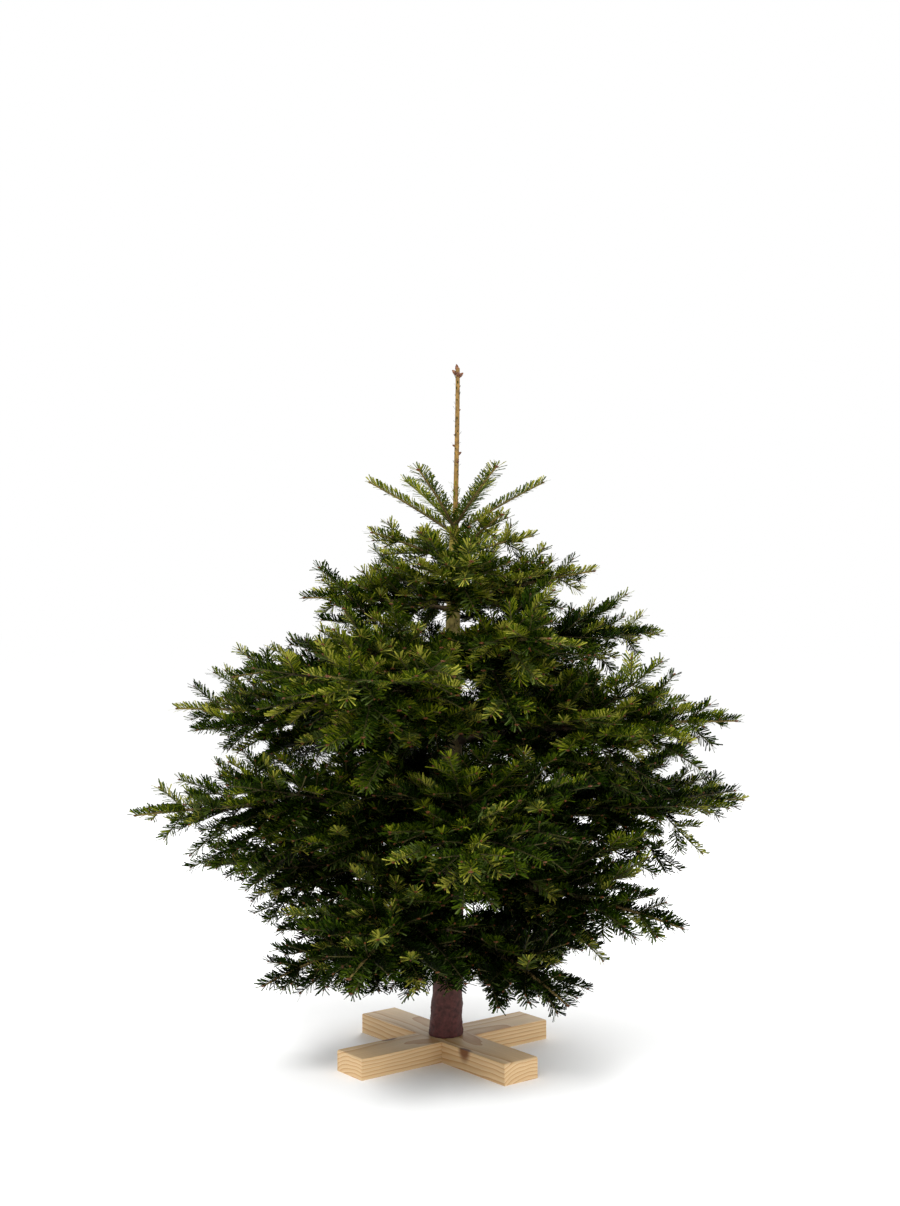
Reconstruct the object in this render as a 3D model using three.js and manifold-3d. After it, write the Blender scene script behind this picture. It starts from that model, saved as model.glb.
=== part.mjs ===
// A cut Nordmann fir, 1.5 m from its sawn foot to the tip of its leader, on a stand of two crossed boards.
// Lengths are in millimetres and angles in degrees. +Z is up, and the origin is at the middle of the
// stand's underside. Each piece that touches another keeps a gap of 0.3 mm to it.
import * as THREE from "three";
import { mergeVertices } from "three/addons/utils/BufferGeometryUtils.js";
import Module from "manifold-3d";

const wasm = await Module();
wasm.setup();

const GAP = 0.3;
const radians = THREE.MathUtils.degToRad;

// ---------------------------------------------------------------- driving dimensions

const stand = {
  length: 520,
  width: 92,
  thickness: 45,
  turn: 38, // of the lower board, about the trunk
  chamfer: 3,
};

const screw = {
  shankRadius: 4,
  headRadius: 10,
  headHeight: 6,
  recess: 9,
  intoTrunk: 55,
  apart: 40,
  sides: 12,
};

const trunk = {
  height: 1500,
  footRadius: 35.5,
  shoulderRadius: 10.5, // just under the topmost whorl
  taper: 0.95,
  flare: 3.5, // how far the foot spreads
  flareHeight: 40,
  leaderFoot: 1133, // height of the topmost whorl above the cut
  leaderRadius: 5.4,
  tipRadius: 4.2,
  lean: 22, // how far the topmost whorl stands off the foot, towards +X
  crook: 3,
  crookLength: 190,
  sides: 12,
};

const bud = { length: 17, radius: 4.6, sides: 6 };

// The whorls of limbs from the top down. foot is a whorl's height on the trunk, length a limb's length,
// yearly the growth between two pairs of side twigs, slope its rise at the trunk, lift the change of slope
// to its tip, turn the heading of its first limb, bare the length before its foliage, root its radius at
// the trunk, spray the half width of its needle sprays, and seed the start of its chances.
const whorls = [
  {
    foot: 1133, limbs: 6, turn: 4, seed: 1,
    length: 254, slope: 36, lift: -8, bare: 0,
    yearly: 290, root: 3.4, spray: 19,
  },
  {
    foot: 1052, limbs: 4, turn: 24, seed: 5602,
    length: 220, slope: 27, lift: -12, bare: 0,
    yearly: 84, root: 4.2, spray: 21,
  },
  {
    foot: 965, limbs: 5, turn: -10, seed: 3203,
    length: 357, slope: 16, lift: -12, bare: 0,
    yearly: 98, root: 5.6, spray: 25,
  },
  {
    foot: 830, limbs: 4, turn: 18, seed: 4317,
    length: 541, slope: 12, lift: -17, bare: 50,
    yearly: 112, root: 8, spray: 28,
  },
  {
    foot: 683, limbs: 4, turn: -23, seed: 2005,
    length: 695, slope: 12, lift: -8, bare: 58,
    yearly: 118, root: 9.5, spray: 30,
  },
  {
    foot: 515, limbs: 4, turn: 16, seed: 3906,
    length: 674, slope: 4, lift: -13, bare: 62,
    yearly: 120, root: 10.5, spray: 30,
  },
  {
    foot: 344, limbs: 4, turn: -22, seed: 2307,
    length: 608, slope: 6, lift: -15, bare: 62,
    yearly: 115, root: 10.5, spray: 30,
  },
  {
    foot: 206, limbs: 4, turn: 35, seed: 2826,
    length: 455, slope: 5, lift: -26, bare: 64,
    yearly: 105, root: 9, spray: 27,
  },
];

const growth = {
  headingJitter: 9,
  slopeJitter: 6,
  lengthJitter: 0.08,
  footSpread: 0.06, // how far up or down a limb leaves the trunk within its whorl, over its length
  sway: 9, // sideways bend of a limb over its length
  limbRoll: 12, // tilt of a limb's fan of twigs about its own line
  twigRoll: 40, // the same for a side twig's fan
  uprightRoll: 80, // and for that of a twig on a limb's top or underside
  forkAngle: 50, // between a limb and its side twigs
  forkJitter: 9,
  uprightAngle: 42, // between a limb and the twigs on its top and underside
  uprightShare: 0.86,
  shares: [0.8, 0.7], // a side twig's length over what lies beyond it on its limb, by order
  twigJitter: 0.16,
  twigLift: 10, // change of slope from a twig's root to its tip, at random up to this
  forwardBend: 14, // how far a side twig bends back towards its limb's heading
  yearlyShare: 0.86,
  shortest: [0.13, 0.26], // the shortest side twig over its limb's length, by order
  neck: 12, // the stretch of a limb without needles at the start of its foliage
};

const spray = {
  pitch: 3.7, // between tiers of points, over the half width
  sweep: 0.72, // how far forward a tier's points lean, over the pitch
  core: 0.3, // the core's radius over the half width
  twigRadius: 3.1,
  tipRadius: 1.2,
};

// ---------------------------------------------------------------- solids and geometries

// A closed geometry as a solid, with its vertices joined.
function solidOf(geometry) {
  const bare = new THREE.BufferGeometry();
  bare.setAttribute("position", geometry.getAttribute("position"));
  if (geometry.index) bare.setIndex(geometry.index);
  const merged = mergeVertices(bare, 1e-3);
  return new wasm.Manifold(
    new wasm.Mesh({
      numProp: 3,
      vertProperties: new Float32Array(merged.getAttribute("position").array),
      triVerts: new Uint32Array(merged.index.array),
    }),
  );
}

function geometryOf(solid) {
  const mesh = solid.getMesh();
  const geometry = new THREE.BufferGeometry();
  geometry.setAttribute("position", new THREE.BufferAttribute(mesh.vertProperties, 3));
  geometry.setIndex(new THREE.BufferAttribute(mesh.triVerts, 1));
  geometry.computeVertexNormals();
  return geometry;
}

// The outer shell of a solid's largest piece, once vertices closer than a micrometre are joined: loose
// scraps are dropped and sealed hollows filled.
function largestPiece(solid) {
  const pieces = solidOf(geometryOf(solid)).decompose();
  return pieces.reduce((most, piece) => (piece.volume() > most.volume() ? piece : most));
}

// A geometry from vertices and from triangles of their numbers.
function indexedGeometry(vertices, triangles) {
  const geometry = new THREE.BufferGeometry();
  const coordinates = vertices.flatMap((vertex) => vertex.toArray());
  geometry.setAttribute("position", new THREE.Float32BufferAttribute(coordinates, 3));
  geometry.setIndex(triangles.flat());
  return geometry;
}

// A tapering rod through rings of vertices, which all have the same number of corners. It ends flat, or
// in a point where a tip is given.
function loft(rings, tip) {
  const sides = rings[0].length;
  const triangles = [];
  for (let ring = 0; ring + 1 < rings.length; ring++) {
    for (let side = 0; side < sides; side++) {
      const a = ring * sides + side;
      const b = ring * sides + ((side + 1) % sides);
      triangles.push([a, b, b + sides], [a, b + sides, a + sides]);
    }
  }
  const last = (rings.length - 1) * sides;
  for (let side = 1; side + 1 < sides; side++) {
    triangles.push([0, side + 1, side]);
    if (!tip) triangles.push([last, last + side, last + side + 1]);
  }
  for (let side = 0; tip && side < sides; side++) {
    triangles.push([last + side, last + ((side + 1) % sides), last + sides]);
  }
  return indexedGeometry([...rings.flat(), ...(tip ? [tip] : [])], triangles);
}

// The corners of a regular polygon about a centre, in the plane of two unit vectors.
function ringAbout(centre, across, over, radius, sides, phase = 0) {
  return Array.from({ length: sides }, (_, side) => {
    const angle = phase + (2 * Math.PI * side) / sides;
    return centre
      .clone()
      .addScaledVector(across, radius * Math.cos(angle))
      .addScaledVector(over, radius * Math.sin(angle));
  });
}

// ---------------------------------------------------------------- seeded chance

// A whole number's own share of chance, from 0 to 1.
function chance(number) {
  let mixed = number >>> 0;
  for (let round = 0; round < 2; round++) {
    mixed = Math.imul(mixed ^ (mixed >>> 16), 0x45d9f3b) >>> 0;
  }
  return ((mixed ^ (mixed >>> 16)) >>> 0) / 4294967296;
}

// The same from -1 to 1, for one of eight traits of a twig.
function swing(twig, trait) {
  return 2 * chance(twig * 8 + trait) - 1;
}

// The number of a twig at a place on its parent.
function childOf(twig, place) {
  return (twig * 19 + place + 1) % 4294967296;
}

// ---------------------------------------------------------------- trunk

const footHeight = stand.thickness + GAP;

// The middle of the trunk at a height above the cut.
function trunkCentre(height) {
  const share = height / trunk.leaderFoot;
  const along = height / trunk.crookLength;
  return new THREE.Vector3(
    trunk.lean * share * (1.5 - 0.5 * share) + trunk.crook * Math.sin(along),
    trunk.crook * Math.sin(1.3 * along),
    footHeight + height,
  );
}

// The trunk's radius at a height: nearly a cone, flared at the foot, and a slim leader on top of it.
function trunkRadius(height) {
  if (height >= trunk.leaderFoot) {
    const share = (height - trunk.leaderFoot) / (trunk.height - trunk.leaderFoot);
    return THREE.MathUtils.lerp(trunk.leaderRadius, trunk.tipRadius, Math.min(1, share));
  }
  const share = (1 - height / trunk.leaderFoot) ** trunk.taper;
  const flare = trunk.flare * Math.exp(-height / trunk.flareHeight);
  return trunk.shoulderRadius + (trunk.footRadius - trunk.shoulderRadius) * share + flare;
}

// The trunk from its flat cut to just under the leader's tip, made larger all round by an extra.
function trunkSolid(extra) {
  const topmost = trunk.leaderFoot;
  const end = trunk.height - bud.length * 0.6;
  const below = [0, 25, 70, 150, 270, 425, 595, 755, 895, 1010, 1095, topmost - 17];
  const heights = [...below, topmost + 21, 1300, 1420, end];
  const rings = heights.map((height) =>
    ringAbout(
      trunkCentre(height),
      new THREE.Vector3(1, 0, 0),
      new THREE.Vector3(0, 1, 0),
      trunkRadius(height) + extra,
      trunk.sides,
    ),
  );
  return solidOf(loft(rings));
}

// The cluster of buds that ends the leader: one stands on, and the others lean out round it.
function budSolids() {
  const { length, radius, sides } = bud;
  const profile = [
    [0, 0],
    [radius * 0.8, length * 0.12],
    [radius, length * 0.42],
    [radius * 0.6, length * 0.78],
    [0, length],
  ];
  const places = [
    { heading: 0, tilt: 4, drop: 0 },
    { heading: 150, tilt: 48, drop: 9 },
    { heading: 275, tilt: 52, drop: 10 },
    { heading: 35, tilt: 60, drop: 12 },
  ];
  return places.map(({ heading, tilt, drop }) => {
    const shape = new THREE.LatheGeometry(
      profile.map(([x, y]) => new THREE.Vector2(x, y)),
      sides,
    );
    const foot = trunkCentre(trunk.height - length - drop);
    const placed = new THREE.Matrix4()
      .makeTranslation(foot.x, foot.y, foot.z)
      .multiply(new THREE.Matrix4().makeRotationZ(radians(heading)))
      .multiply(new THREE.Matrix4().makeRotationY(radians(tilt)))
      .multiply(new THREE.Matrix4().makeRotationX(Math.PI / 2));
    return solidOf(shape.applyMatrix4(placed));
  });
}

// ---------------------------------------------------------------- courses of limbs and twigs

// The unit vectors along, across and over a limb that points to a heading and a slope, in radians.
function compass(heading, slope) {
  const [ch, sh, cs, ss] = [Math.cos(heading), Math.sin(heading), Math.cos(slope), Math.sin(slope)];
  return {
    along: new THREE.Vector3(cs * ch, cs * sh, ss),
    across: new THREE.Vector3(sh, -ch, 0),
    over: new THREE.Vector3(-ss * ch, -ss * sh, cs),
  };
}

const COURSE_STEPS = 10;

// The line of a limb or twig from its root: its heading and slope change evenly by turn and lift.
function courseFrom(root, heading, slope, turn, lift, length) {
  const stations = [{ at: root.clone(), heading, slope, distance: 0 }];
  for (let step = 1; step <= COURSE_STEPS; step++) {
    const before = stations[step - 1];
    const middle = (step - 0.5) / COURSE_STEPS;
    const { along } = compass(heading + turn * middle, slope + lift * middle);
    stations.push({
      at: before.at.clone().addScaledVector(along, length / COURSE_STEPS),
      heading: heading + (turn * step) / COURSE_STEPS,
      slope: slope + (lift * step) / COURSE_STEPS,
      distance: (length * step) / COURSE_STEPS,
    });
  }
  return { stations, length };
}

// The place, heading and slope at a distance along a course.
function stationAt(course, distance) {
  const { stations } = course;
  const whole = stations[stations.length - 1].distance;
  const place = (THREE.MathUtils.clamp(distance, 0, whole) / whole) * COURSE_STEPS;
  const before = Math.min(COURSE_STEPS - 1, Math.floor(place));
  const share = place - before;
  const [a, b] = [stations[before], stations[before + 1]];
  return {
    at: a.at.clone().lerp(b.at, share),
    heading: THREE.MathUtils.lerp(a.heading, b.heading, share),
    slope: THREE.MathUtils.lerp(a.slope, b.slope, share),
    distance,
  };
}

// Every limb of the tree, from the top whorl down, with the course of its middle line.
const limbs = whorls.flatMap((whorl, tier) =>
  Array.from({ length: whorl.limbs }, (_, place) => {
    const id = childOf(whorl.seed, place);
    const heading = radians(whorl.turn + (360 * place) / whorl.limbs + growth.headingJitter * swing(id, 0));
    const slope = radians(whorl.slope + growth.slopeJitter * swing(id, 1));
    const length = whorl.length * (1 + growth.lengthJitter * swing(id, 2));
    const turn = radians(growth.sway * swing(id, 3));
    const height = whorl.foot + growth.footSpread * whorl.length * swing(id, 4);
    const roll = radians(growth.limbRoll * swing(id, 5));
    const course = courseFrom(trunkCentre(height), heading, slope, turn, radians(whorl.lift), length);
    return { id, tier, place, whorl, course, length, roll, yearly: whorl.yearly };
  }),
);

const segment = new THREE.Line3();
const nearest = new THREE.Vector3();

// How far a point lies from a course.
function distanceTo(course, point) {
  let least = Infinity;
  for (let step = 0; step < COURSE_STEPS; step++) {
    segment.set(course.stations[step].at, course.stations[step + 1].at);
    segment.closestPointToPoint(point, true, nearest);
    least = Math.min(least, nearest.distanceTo(point));
  }
  return least;
}

// How much nearer a point lies to its own limb than to any other limb, the trunk's bark or the stand.
function room(point, own) {
  const height = point.z - footHeight;
  const trunkAt = trunkCentre(height);
  const offAxis = Math.hypot(point.x - trunkAt.x, point.y - trunkAt.y);
  let least = Math.min(offAxis - trunkRadius(Math.max(0, height)), height);
  for (const limb of limbs) {
    if (limb !== own) least = Math.min(least, distanceTo(limb.course, point));
  }
  return least - distanceTo(own.course, point);
}

// A place on a twig and its unit vectors along the twig, across its fan of twigs and over it.
function frameAt(twig, distance) {
  const { at, heading, slope } = stationAt(twig.course, distance);
  const { along, across, over } = compass(heading, slope);
  const [turned, raised] = [across.clone(), over.clone()];
  turned.multiplyScalar(Math.cos(twig.roll)).addScaledVector(over, Math.sin(twig.roll));
  raised.multiplyScalar(Math.cos(twig.roll)).addScaledVector(across, -Math.sin(twig.roll));
  return { at, along, across: turned, over: raised };
}

// Half the width of a spray at a share of its length: it widens from its root and narrows to its tip.
function sprayWidth(share, halfWidth) {
  const atRoot = Math.min(1, 0.25 + 2.4 * share);
  const atTip = 1 - 0.5 * Math.max(0, (share - 0.55) / 0.45) ** 2;
  return halfWidth * atRoot * atTip;
}

// The length of a twig that stays, sprays and all, in its own limb's space.
function lengthInside(course, own) {
  for (const { at, distance } of course.stations.slice(1)) {
    const reach = sprayWidth(distance / course.length, own.whorl.spray);
    if (room(at, own) < 1.6 * reach) return distance - course.length / COURSE_STEPS;
  }
  return course.length;
}

// A twig that leaves its parent at a distance from the parent's root. side is -1 or 1 for a side twig
// and 0 for one on the parent's top or underside, where over is 1 or -1.
function twigFrom(parent, distance, side, over, length, id, own) {
  const root = frameAt(parent, distance);
  const angle = radians((side ? growth.forkAngle : growth.uprightAngle) + growth.forkJitter * swing(id, 0));
  const tilt = radians(growth.forkJitter * swing(id, 1));
  const aim = root.along
    .multiplyScalar(Math.cos(angle))
    .addScaledVector(root.across, Math.sin(angle) * (side || 0.5 * swing(id, 2)))
    .addScaledVector(root.over, Math.sin(angle) * over + Math.sin(tilt))
    .normalize();
  const course = courseFrom(
    root.at,
    Math.atan2(aim.y, aim.x),
    Math.asin(aim.z),
    radians(side * growth.forwardBend),
    radians(growth.twigLift * (swing(id, 3) - over)),
    length,
  );
  const roll = radians((side ? growth.twigRoll : growth.uprightRoll) * swing(id, 5));
  const yearly = parent.yearly * growth.yearlyShare;
  return { id, course, length: lengthInside(course, own), roll, yearly };
}

// The twigs of a limb: pairs of side twigs a year's growth apart, counted back from its tip, each with
// pairs of its own, and on the limb itself one more on its top and its underside.
function twigsOf(parent, order, own) {
  const least = growth.shortest[order] * own.length;
  const first = order === 0 ? own.whorl.bare + growth.neck : 0.15 * parent.length;
  const found = [];
  let year = 0;
  for (let beyond = parent.yearly; parent.length - beyond > first; beyond += parent.yearly) {
    year += 1;
    const places = [
      { side: -1, over: 0, share: 1 },
      { side: 1, over: 0, share: 1 },
    ];
    if (order === 0) {
      places.push({ side: 0, over: 1, share: growth.uprightShare });
      places.push({ side: 0, over: -1, share: growth.uprightShare });
    }
    places.forEach(({ side, over, share }, place) => {
      const id = childOf(parent.id, 4 * year + place);
      const full = share * growth.shares[order] * beyond * (1 + growth.twigJitter * swing(id, 4));
      if (full < least) return;
      const twig = twigFrom(parent, parent.length - beyond, side, over, full, id, own);
      if (twig.length < least) return;
      found.push(twig);
      if (order + 1 < growth.shares.length) found.push(...twigsOf(twig, order + 1, own));
    });
  }
  return found;
}

// ---------------------------------------------------------------- boughs, stems and sprays of needles

// The radius of a limb's wood at a distance from the trunk's middle.
function limbRadius(limb, distance) {
  return THREE.MathUtils.lerp(limb.whorl.root, spray.tipRadius, distance / limb.length);
}

// A stretch of a limb's wood.
function limbRod(limb, from, to, sides, steps) {
  const rings = Array.from({ length: steps + 1 }, (_, step) => {
    const station = stationAt(limb.course, THREE.MathUtils.lerp(from, to, step / steps));
    const { across, over } = compass(station.heading, station.slope);
    return ringAbout(station.at, over, across, limbRadius(limb, station.distance), sides);
  });
  return solidOf(loft(rings));
}

// A spray of needles is a slim three-sided core along its twig, out of which tiers of points stand all
// round and lean forward. Each tier is a sixth of a turn on from the one before. A neck is bare.
function spraySolid(twig, from, halfWidth, rootRadius, neck = 0) {
  const length = twig.length - from - neck;
  const tiers = Math.max(1, Math.round(length / (spray.pitch * halfWidth)));
  const rings = [];
  const addRing = (distance, radius, phase) => {
    const { at, across, over } = frameAt(twig, from + distance);
    rings.push(ringAbout(at, over, across, radius, 3, phase));
  };
  if (neck) addRing(0, rootRadius, 0);
  for (let tier = 0; tier < tiers; tier++) {
    const start = (tier * length) / tiers;
    const points = start + (spray.sweep * length) / tiers;
    const phase = (-tier * Math.PI) / 3;
    const core = tier ? spray.core * sprayWidth(start / length, halfWidth) : rootRadius;
    addRing(neck + start, core, phase);
    addRing(neck + points, sprayWidth(points / length, halfWidth), phase);
  }
  return solidOf(loft(rings, frameAt(twig, twig.length).at));
}

// A bough is the bare part of a limb, from the bark of the trunk to its foliage.
function boughSolid(limb, trunkHole) {
  return largestPiece(limbRod(limb, 0, limb.whorl.bare, 6, 2).subtract(trunkHole));
}

// A mass of foliage: the limb goes on through it as its stem and carries its twigs, all of them in needles.
function foliageSolid(limb, trunkHole) {
  const { bare, spray: halfWidth } = limb.whorl;
  const from = bare ? bare + GAP : 0;
  let mass = spraySolid(limb, from, halfWidth, limbRadius(limb, from), growth.neck);
  for (const twig of twigsOf(limb, 0, limb)) {
    mass = mass.add(spraySolid(twig, 0, halfWidth, spray.twigRadius));
  }
  return largestPiece(bare ? mass : mass.subtract(trunkHole));
}

// ---------------------------------------------------------------- stand

// A board of the cross, which lies on the floor along X. Its ends have their upper corners taken off, and
// half its thickness is cut away at the middle, at the bottom or the top, to lap the other board.
function boardSolid(lapAtTop, holes) {
  const { length, width, thickness, chamfer } = stand;
  const outline = new THREE.Shape();
  outline.moveTo(-length / 2, 0);
  outline.lineTo(length / 2, 0);
  outline.lineTo(length / 2, thickness - chamfer);
  outline.lineTo(length / 2 - chamfer, thickness);
  outline.lineTo(-length / 2 + chamfer, thickness);
  outline.lineTo(-length / 2, thickness - chamfer);
  outline.closePath();
  const shape = new THREE.ExtrudeGeometry(outline, { depth: width, bevelEnabled: false });
  shape.translate(0, 0, -width / 2).rotateX(Math.PI / 2);
  const depth = (thickness + GAP) / 2;
  const lap = new THREE.BoxGeometry(width + 2 * GAP, width + 2, depth + 1);
  const middle = (depth - 1) / 2;
  lap.translate(0, 0, lapAtTop ? thickness - middle : middle);
  return holes.reduce((board, hole) => board.subtract(hole), solidOf(shape).subtract(solidOf(lap)));
}

// A round bar upright on the screw's axis, from one height to another.
function bar(place, radius, low, high) {
  const shape = new THREE.CylinderGeometry(radius, radius, high - low, screw.sides);
  return solidOf(shape.rotateX(Math.PI / 2).translate(place.x, place.y, (low + high) / 2));
}

const screwTop = footHeight + screw.intoTrunk;
const screwPlaces = [-1, 1].map((side) => {
  const along = (side * screw.apart) / 2;
  const heading = radians(stand.turn);
  return new THREE.Vector3(along * Math.cos(heading), along * Math.sin(heading), 0);
});

// A coach screw, head down, on the Z axis.
function screwSolid() {
  const low = screw.recess - screw.headHeight;
  const points = [
    [0, low],
    [screw.headRadius - 1.5, low],
    [screw.headRadius, low + 1.5],
    [screw.headRadius, screw.recess],
    [screw.shankRadius, screw.recess],
    [screw.shankRadius, screwTop - 2 * screw.shankRadius],
    [0, screwTop],
  ];
  const shape = new THREE.LatheGeometry(points.map(([x, y]) => new THREE.Vector2(x, y)), screw.sides);
  return solidOf(shape.rotateX(Math.PI / 2));
}

// The hole round one screw, a gap wider than the screw all the way.
function screwHole(place) {
  const head = bar(place, screw.headRadius + 2 * GAP, -1, screw.recess + GAP);
  return head.add(bar(place, screw.shankRadius + GAP, 0, screwTop + GAP));
}

// ---------------------------------------------------------------- materials and the whole tree

const materials = {
  bark: new THREE.MeshStandardMaterial({ color: 0x5a4038, roughness: 0.9, metalness: 0 }),
  boughBark: new THREE.MeshStandardMaterial({ color: 0x5d4a36, roughness: 0.85, metalness: 0 }),
  needles: new THREE.MeshStandardMaterial({ color: 0x33421a, roughness: 0.5, metalness: 0 }),
  youngNeedles: new THREE.MeshStandardMaterial({ color: 0x4a5a2a, roughness: 0.5, metalness: 0 }),
  pine: new THREE.MeshStandardMaterial({ color: 0xc7a674, roughness: 0.7, metalness: 0 }),
  steel: new THREE.MeshStandardMaterial({ color: 0x9a9da0, roughness: 0.35, metalness: 1 }),
};

// A named piece of the whole tree.
function piece(name, solid, material) {
  const mesh = new THREE.Mesh(geometryOf(solid), material);
  mesh.name = name;
  return mesh;
}

// The cross of boards and its screws. The boards' holes are cut before the boards are turned.
function makeStand() {
  const group = new THREE.Group();
  const turnBack = new THREE.Euler(0, 0, -radians(stand.turn));
  const inBoard = screwPlaces.map((place) => place.clone().applyEuler(turnBack));
  const lower = piece("stand_lower_board", boardSolid(true, inBoard.map(screwHole)), materials.pine);
  lower.rotation.z = radians(stand.turn);
  const quarter = new THREE.Euler(0, 0, -Math.PI / 2);
  const inCross = inBoard.map((place) => place.clone().applyEuler(quarter));
  const upper = piece("stand_upper_board", boardSolid(false, inCross.map(screwHole)), materials.pine);
  upper.rotation.z = radians(stand.turn + 90);
  group.add(lower, upper);
  screwPlaces.forEach((place, index) => {
    const screwMesh = piece(`stand_screw_${index + 1}`, screwSolid(), materials.steel);
    screwMesh.position.copy(place);
    group.add(screwMesh);
  });
  return group;
}

// The trunk with its screw holes, and every limb on it.
function makeTree() {
  const group = new THREE.Group();
  let stem = budSolids().reduce((sum, solid) => sum.add(solid), trunkSolid(0));
  for (const place of screwPlaces) stem = stem.subtract(screwHole(place));
  group.add(piece("trunk", largestPiece(stem), materials.bark));
  const trunkHole = trunkSolid(GAP);
  for (const limb of limbs) {
    const label = `${limb.tier + 1}_${limb.place + 1}`;
    const { bare } = limb.whorl;
    if (bare) group.add(piece(`bough_${label}`, boughSolid(limb, trunkHole), materials.boughBark));
    const needles = bare ? materials.needles : materials.youngNeedles;
    group.add(piece(`foliage_${label}`, foliageSolid(limb, trunkHole), needles));
  }
  return group;
}

const tree = new THREE.Group();
tree.add(makeStand(), makeTree());

export default tree;
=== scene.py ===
import math
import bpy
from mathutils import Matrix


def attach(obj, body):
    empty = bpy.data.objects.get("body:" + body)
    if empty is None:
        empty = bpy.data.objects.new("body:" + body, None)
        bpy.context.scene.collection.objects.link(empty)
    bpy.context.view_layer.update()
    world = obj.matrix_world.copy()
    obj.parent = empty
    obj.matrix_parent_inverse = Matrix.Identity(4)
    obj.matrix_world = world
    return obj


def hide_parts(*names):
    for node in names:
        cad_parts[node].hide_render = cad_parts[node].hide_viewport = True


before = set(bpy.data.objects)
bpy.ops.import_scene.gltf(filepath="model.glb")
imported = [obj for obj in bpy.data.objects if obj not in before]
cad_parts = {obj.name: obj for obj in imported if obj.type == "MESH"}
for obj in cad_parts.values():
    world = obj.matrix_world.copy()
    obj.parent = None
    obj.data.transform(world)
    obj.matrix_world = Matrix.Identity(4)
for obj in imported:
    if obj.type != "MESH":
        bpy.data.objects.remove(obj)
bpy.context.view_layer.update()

from types import SimpleNamespace

import bpy
import numpy as np
from mathutils import Matrix, Vector, noise


# ---------------------------------------------------------------- camera, floor and light
# The tree is seen level from its front, from two thirds of its height, with a normal lens from 3.5 m. Soft
# panels light it from the front left, the front right and behind, and a white room lights the rest.

VIEW_DISTANCE = 3.5
VIEW_HEIGHT = 1.010
VIEW_OFFSET = 0.010
VIEW_TALL = 2.700  # what the picture's height covers at the trunk

camera = bpy.data.objects.new("camera", bpy.data.cameras.new("camera"))
camera.data.sensor_width = 36
camera.data.lens = 36 * VIEW_DISTANCE / VIEW_TALL
camera.location = (VIEW_OFFSET, -VIEW_DISTANCE, VIEW_HEIGHT)
camera.rotation_euler = (math.pi / 2, 0, 0)
bpy.context.scene.collection.objects.link(camera)
bpy.context.scene.camera = camera
bpy.context.scene.view_settings.view_transform = "Standard"


def linear(hex_colour):
    """An sRGB hex colour as linear red, green, blue and alpha."""
    channels = [int(hex_colour[i : i + 2], 16) / 255 for i in (1, 3, 5)]
    return [c / 12.92 if c <= 0.04045 else ((c + 0.055) / 1.055) ** 2.4 for c in channels] + [1.0]


def add_node(tree, kind, settings=None, inputs=None):
    """Adds a node with its own settings, and gives each input a value or links a socket to it."""
    node = tree.nodes.new(kind)
    for name, value in (settings or {}).items():
        setattr(node, name, value)
    for name, value in (inputs or {}).items():
        if isinstance(value, bpy.types.NodeSocket):
            tree.links.new(value, node.inputs[name])
        else:
            node.inputs[name].default_value = value
    return node


def finish_of(name, roughness, specular=0.5, metallic=0.0):
    """A new material, with its node tree and its shader, and the gloss that is the same all over it."""
    material = bpy.data.materials.new(name)
    material.use_nodes = True
    shader = material.node_tree.nodes["Principled BSDF"]
    shader.inputs["Roughness"].default_value = roughness
    shader.inputs["Specular IOR Level"].default_value = specular
    shader.inputs["Metallic"].default_value = metallic
    return material, material.node_tree, shader


def light_panel(name, place, aim, size, power):
    """A square soft light that faces a point."""
    lamp = bpy.data.lights.new(name, "AREA")
    lamp.shape = "SQUARE"
    lamp.size = size
    lamp.energy = power
    panel = bpy.data.objects.new(name, lamp)
    panel.location = place
    panel.rotation_euler = (Vector(aim) - Vector(place)).to_track_quat("-Z", "Y").to_euler()
    bpy.context.scene.collection.objects.link(panel)


crown_middle = (0.0, 0.0, 0.75)
light_panel("key_light", (-1.2, -3.0, 3.6), crown_middle, 1.5, 120)
light_panel("fill_light", (2.6, -2.4, 1.8), crown_middle, 2.0, 30)
light_panel("back_light", (0.8, 3.2, 2.8), crown_middle, 2.2, 80)

world = bpy.data.worlds.new("white_room")
world.use_nodes = True
bpy.context.scene.world = world
background = world.node_tree.nodes["Background"]
background.inputs["Color"].default_value = (1.0, 1.0, 1.0, 1.0)
background.inputs["Strength"].default_value = 1.0

floor_mesh = bpy.data.meshes.new("floor")
floor_mesh.from_pydata([(-40, -40, 0), (40, -40, 0), (40, 40, 0), (-40, 40, 0)], [], [(0, 1, 2, 3)])
floor = bpy.data.objects.new("floor", floor_mesh)
floor_paint, _, floor_shader = finish_of("matt_white_floor", 1.0, 0.0)
floor_shader.inputs["Base Color"].default_value = (1.0, 1.0, 1.0, 1.0)
floor_mesh.materials.append(floor_paint)
bpy.context.scene.collection.objects.link(floor)


# ---------------------------------------------------------------- stand: boards
# Two planed spruce boards, halved where they cross, lie under the trunk and carry the tree. They are plain
# unpainted wood, so their grain, their knots and their sawn ends show.

BOARD_HEADINGS = {"stand_lower_board": 38, "stand_upper_board": 128}  # degrees
RING_SPACING = 0.0085  # two or three years' growth of the spruce, because single rings are too fine to show
WAVE_RADIANS = 20  # how far the wave texture turns over a metre at a scale of 1
PITH_BESIDE = 0.012  # how far the heart of the log lies beside the board's middle
PITH_BELOW = 0.085  # and how far under it
RING_SWAY = 0.03
FIBRE_CELLS = (12.0, 700.0, 700.0)  # to the metre along, across and over the board
KNOT_CELLS = (6.0, 13.0, 4.0)


def vector_math(tree, operation, inputs):
    """A node that works one sum on vectors."""
    return add_node(tree, "ShaderNodeVectorMath", {"operation": operation}, inputs)


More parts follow.
